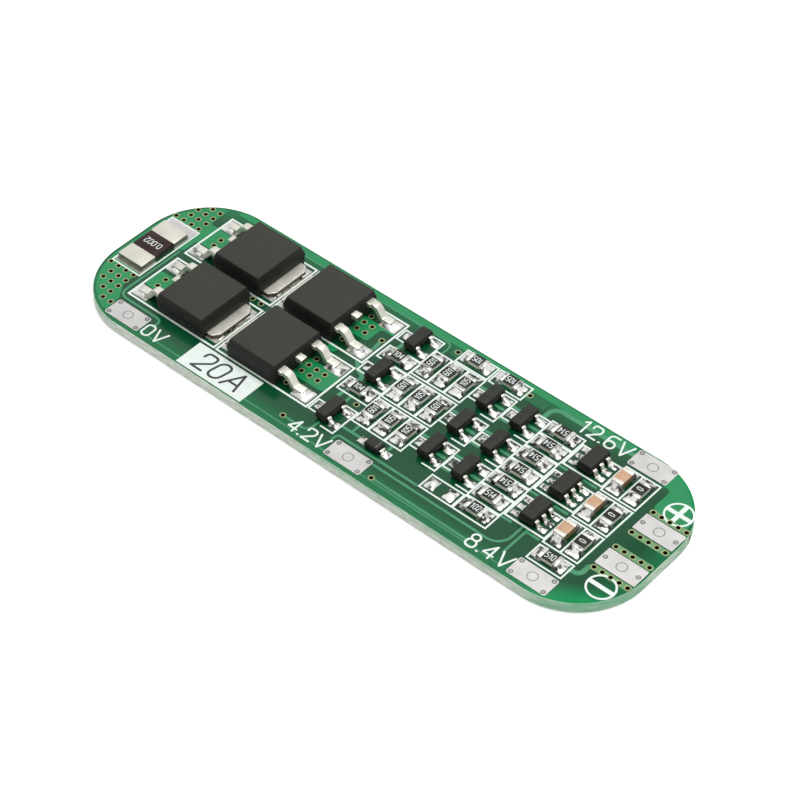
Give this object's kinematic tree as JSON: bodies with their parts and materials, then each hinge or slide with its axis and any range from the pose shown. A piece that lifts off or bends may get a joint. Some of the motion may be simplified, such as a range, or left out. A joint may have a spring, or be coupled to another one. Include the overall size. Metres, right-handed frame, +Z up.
{
  "type": "battery management board",
  "caption": "Battery protection and cell balancing circuit board with rounded ends, bare solder terminals, power transistors and a current shunt.",
  "frame": {"origin": "middle of the underside of the board", "axes": "+X along the board from the shunt end towards the plus and minus output terminals, +Y across the board towards the 12.6 V terminal, +Z up out of the side with the components"},
  "size_m": [0.064, 0.02, 0.0034],
  "materials": {
    "laminate": "green solder mask over glass laminate, satin",
    "tinned_pad": "dull tin",
    "shunt_ceramic": "dark coat between tinned ends",
    "power_moulding": "moulded, fine matte",
    "lead_frame": "tinned copper, satin",
    "pin_metal": "tinned, satin",
    "small_moulding": "moulded, fine matte",
    "resistor_ceramic": "dark coat between tinned ends",
    "capacitor_ceramic": "bare fired ceramic",
    "solder": "bright solder"
  },
  "bodies": {
    "root": {"balance_transistor_1": "small_moulding", "balance_transistor_2": "small_moulding", "balance_transistor_3": "small_moulding", "balance_transistor_4": "small_moulding", "balance_transistor_5": "small_moulding", "balance_transistor_6": "small_moulding", "bleed_resistor_1": "resistor_ceramic", "bleed_resistor_2": "resistor_ceramic", "bleed_resistor_3": "resistor_ceramic", "bleed_resistor_4": "resistor_ceramic", "bleed_resistor_5": "resistor_ceramic", "bleed_resistor_6": "resistor_ceramic", "bleed_resistor_7": "resistor_ceramic", "bleed_resistor_8": "resistor_ceramic", "bleed_resistor_9": "resistor_ceramic", "circuit_board": "laminate", "driver_transistor_1": "small_moulding", "driver_transistor_2": "small_moulding", "driver_transistor_3": "small_moulding", "filter_capacitor_1": "capacitor_ceramic", "filter_capacitor_2": "capacitor_ceramic", "filter_capacitor_3": "capacitor_ceramic", "gate_resistor_1": "resistor_ceramic", "gate_resistor_2": "resistor_ceramic", "ladder_resistor_1": "resistor_ceramic", "ladder_resistor_2": "resistor_ceramic", "ladder_resistor_3": "resistor_ceramic", "ladder_resistor_4": "resistor_ceramic", "ladder_resistor_5": "resistor_ceramic", "ladder_resistor_6": "resistor_ceramic", "ladder_resistor_7": "resistor_ceramic", "link_resistor_1": "resistor_ceramic", "link_resistor_2": "resistor_ceramic", "link_resistor_3": "resistor_ceramic", "monitor_chip_body_1": "small_moulding", "monitor_chip_body_2": "small_moulding", "monitor_chip_body_3": "small_moulding", "monitor_chip_leads_1": "pin_metal", "monitor_chip_leads_2": "pin_metal", "monitor_chip_leads_3": "pin_metal", "power_body_1": "power_moulding", "power_body_2": "power_moulding", "power_body_3": "power_moulding", "power_body_4": "power_moulding", "power_leadframe_1": "lead_frame", "power_leadframe_2": "lead_frame", "power_leadframe_3": "lead_frame", "power_leadframe_4": "lead_frame", "setting_resistor": "resistor_ceramic", "shunt_resistor": "shunt_ceramic", "signal_diode": "small_moulding", "solder_joints": "solder", "supply_resistor_1": "resistor_ceramic", "supply_resistor_2": "resistor_ceramic", "terminal_0v": "tinned_pad", "terminal_12v6": "tinned_pad", "terminal_4v2": "tinned_pad", "terminal_8v4": "tinned_pad", "terminal_minus": "tinned_pad", "terminal_plus": "tinned_pad"}
  },
  "joints": []
}
